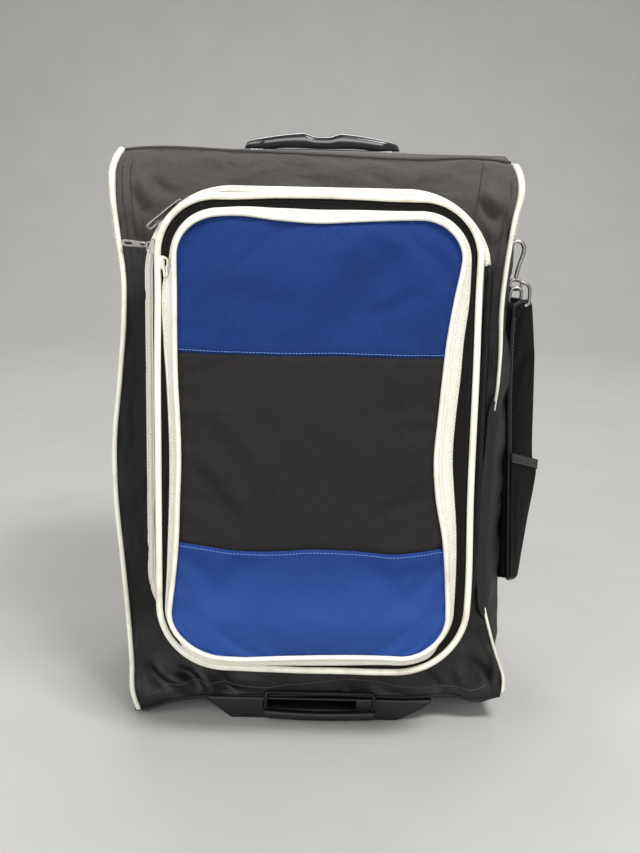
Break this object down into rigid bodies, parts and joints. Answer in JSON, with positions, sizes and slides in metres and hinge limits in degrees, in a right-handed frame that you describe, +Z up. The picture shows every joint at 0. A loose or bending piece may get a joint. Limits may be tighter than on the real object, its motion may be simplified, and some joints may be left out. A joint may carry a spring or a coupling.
{
  "type": "roller bowling bag",
  "caption": "Upright soft roller bag with a hinged front lid, zipped shoe pocket, telescopic handle, rear wheels, front grab foot and hanging side pouch.",
  "frame": {"origin": "on the floor, under the centre of the bounding box", "axes": "+X to the right seen from the front, +Y from the front lid to the handle and wheels, +Z up"},
  "size_m": [0.3938, 0.3106, 0.546],
  "materials": {
    "black_fabric": "matte woven polyester",
    "blue_fabric": "matte woven polyester",
    "cream_piping": "smooth satin vinyl",
    "black_binding": "smooth woven binding",
    "satin_plastic": "satin moulded",
    "gloss_plastic": "glossy moulded",
    "board": "matte sheet",
    "foam": "open foam",
    "aluminium": "satin",
    "nickel": "nickel plated",
    "steel": "plain",
    "tyre": "matte rubber"
  },
  "bodies": {
    "body": {"body_shell": "black_fabric", "front_surround": "black_fabric", "front_piping_left": "cream_piping", "front_piping_right": "cream_piping", "main_zip_tape_body": "cream_piping", "lid_hinge_strip": "black_binding", "back_board": "board", "base_board": "board", "ball_cup_lower": "foam", "ball_cup_upper": "foam", "front_foot": "satin_plastic", "foot_screw_1": "steel", "foot_screw_2": "steel", "foot_screw_3": "steel", "foot_screw_4": "steel", "wheel_housing_left": "satin_plastic", "wheel_housing_right": "satin_plastic", "axle_left": "steel", "axle_right": "steel", "handle_housing": "satin_plastic", "handle_bottom_bracket": "satin_plastic", "handle_outer_tube_left": "aluminium", "handle_outer_tube_right": "aluminium", "side_ring_tab": "black_binding"},
    "handle_lower": {"handle_middle_tube_left": "aluminium", "handle_middle_tube_right": "aluminium"},
    "handle_upper": {"handle_inner_tube_left": "aluminium", "handle_inner_tube_right": "aluminium", "handle_grip": "gloss_plastic"},
    "button": {"grip_button": "satin_plastic"},
    "wheel_left": {"tyre_left": "tyre", "wheel_rim_left": "satin_plastic", "wheel_bearing_left": "steel"},
    "wheel_right": {"tyre_right": "tyre", "wheel_rim_right": "satin_plastic", "wheel_bearing_right": "steel"},
    "lid": {"lid_gusset": "black_fabric", "lid_inner_panel": "board", "lid_front_ring": "black_fabric", "lid_piping": "cream_piping", "main_zip_tape_lid": "cream_piping"},
    "pocket_flap": {"pocket_panel_top": "blue_fabric", "pocket_panel_middle": "black_fabric", "pocket_panel_bottom": "blue_fabric", "pocket_piping": "cream_piping", "pocket_zip_tape": "cream_piping"},
    "slider_lower": {"main_zip_slider_lower": "nickel"},
    "pull_lower": {"main_zip_pull_lower": "nickel"},
    "slider_upper": {"main_zip_slider_upper": "nickel"},
    "pull_upper": {"main_zip_pull_upper": "nickel"},
    "pocket_slider": {"pocket_zip_slider": "cream_piping"},
    "ring": {"side_ring": "nickel"},
    "hook": {"snap_hook_body": "nickel"},
    "gate": {"snap_hook_gate": "nickel"},
    "pouch": {"pouch_ring": "nickel", "pouch_tab": "black_binding", "pouch_back_panel": "black_fabric", "pouch_pocket": "black_fabric"}
  },
  "joints": [
    {"name": "handle_lower_slide", "type": "slide", "parent": "body", "child": "handle_lower", "axis": [0, 0, 1], "range_m": [0, 0.26]},
    {"name": "handle_upper_slide", "type": "slide", "parent": "handle_lower", "child": "handle_upper", "axis": [0, 0, 1], "range_m": [0, 0.26]},
    {"name": "grip_button_press", "type": "slide", "parent": "handle_upper", "child": "button", "axis": [0, 0, -1], "range_m": [0, 0.0022], "stiffness_N_per_m": 400},
    {"name": "wheel_left_spin", "type": "hinge", "parent": "body", "child": "wheel_left", "pos_m": [-0.16395, 0.11935, 0.036], "axis": [1, 0, 0], "continuous": true},
    {"name": "wheel_right_spin", "type": "hinge", "parent": "body", "child": "wheel_right", "pos_m": [0.12805, 0.11935, 0.036], "axis": [1, 0, 0], "continuous": true},
    {"name": "lid_swing", "type": "hinge", "parent": "body", "child": "lid", "pos_m": [0.13205, -0.09965, 0.286], "axis": [0, 0, 1], "range_deg": [0, 120]},
    {"name": "pocket_flap_swing", "type": "hinge", "parent": "lid", "child": "pocket_flap", "pos_m": [-0.13945, -0.15065, 0.286], "axis": [0, 0, -1], "range_deg": [0, 110]},
    {"name": "slider_lower_run", "type": "slide", "parent": "body", "child": "slider_lower", "axis": [0, 0, -1], "range_m": [0, 0.29]},
    {"name": "pull_lower_swing", "type": "hinge", "parent": "slider_lower", "child": "pull_lower", "pos_m": [-0.16505, -0.09115, 0.44], "axis": [0, 1, 0], "range_deg": [-80, 80]},
    {"name": "slider_upper_run", "type": "hinge", "parent": "body", "child": "slider_upper", "pos_m": [-0.09045, -0.09115, 0.429], "axis": [0, 1, 0], "range_deg": [0, 36]},
    {"name": "pull_upper_swing", "type": "hinge", "parent": "slider_upper", "child": "pull_upper", "pos_m": [-0.13534, -0.09115, 0.48858], "axis": [0, 1, 0], "range_deg": [0, 150]},
    {"name": "pocket_slider_run", "type": "slide", "parent": "lid", "child": "pocket_slider", "axis": [0, 0, -1], "range_m": [0, 0.29]},
    {"name": "side_ring_swing", "type": "hinge", "parent": "body", "child": "ring", "pos_m": [0.16905, 0.01535, 0.458], "axis": [0, -1, 0], "range_deg": [0, 45]},
    {"name": "hook_swing", "type": "hinge", "parent": "ring", "child": "hook", "pos_m": [0.16905, 0.01535, 0.4395], "axis": [0, -1, 0], "range_deg": [0, 40]},
    {"name": "gate_swing", "type": "hinge", "parent": "hook", "child": "gate", "pos_m": [0.16335, 0.01535, 0.4225], "axis": [0, 1, 0], "range_deg": [0, 20], "stiffness_Nm_per_rad": 0.004},
    {"name": "pouch_swing", "type": "hinge", "parent": "hook", "child": "pouch", "pos_m": [0.16905, 0.01535, 0.408], "axis": [0, -1, 0], "range_deg": [-1, 40]}
  ]
}
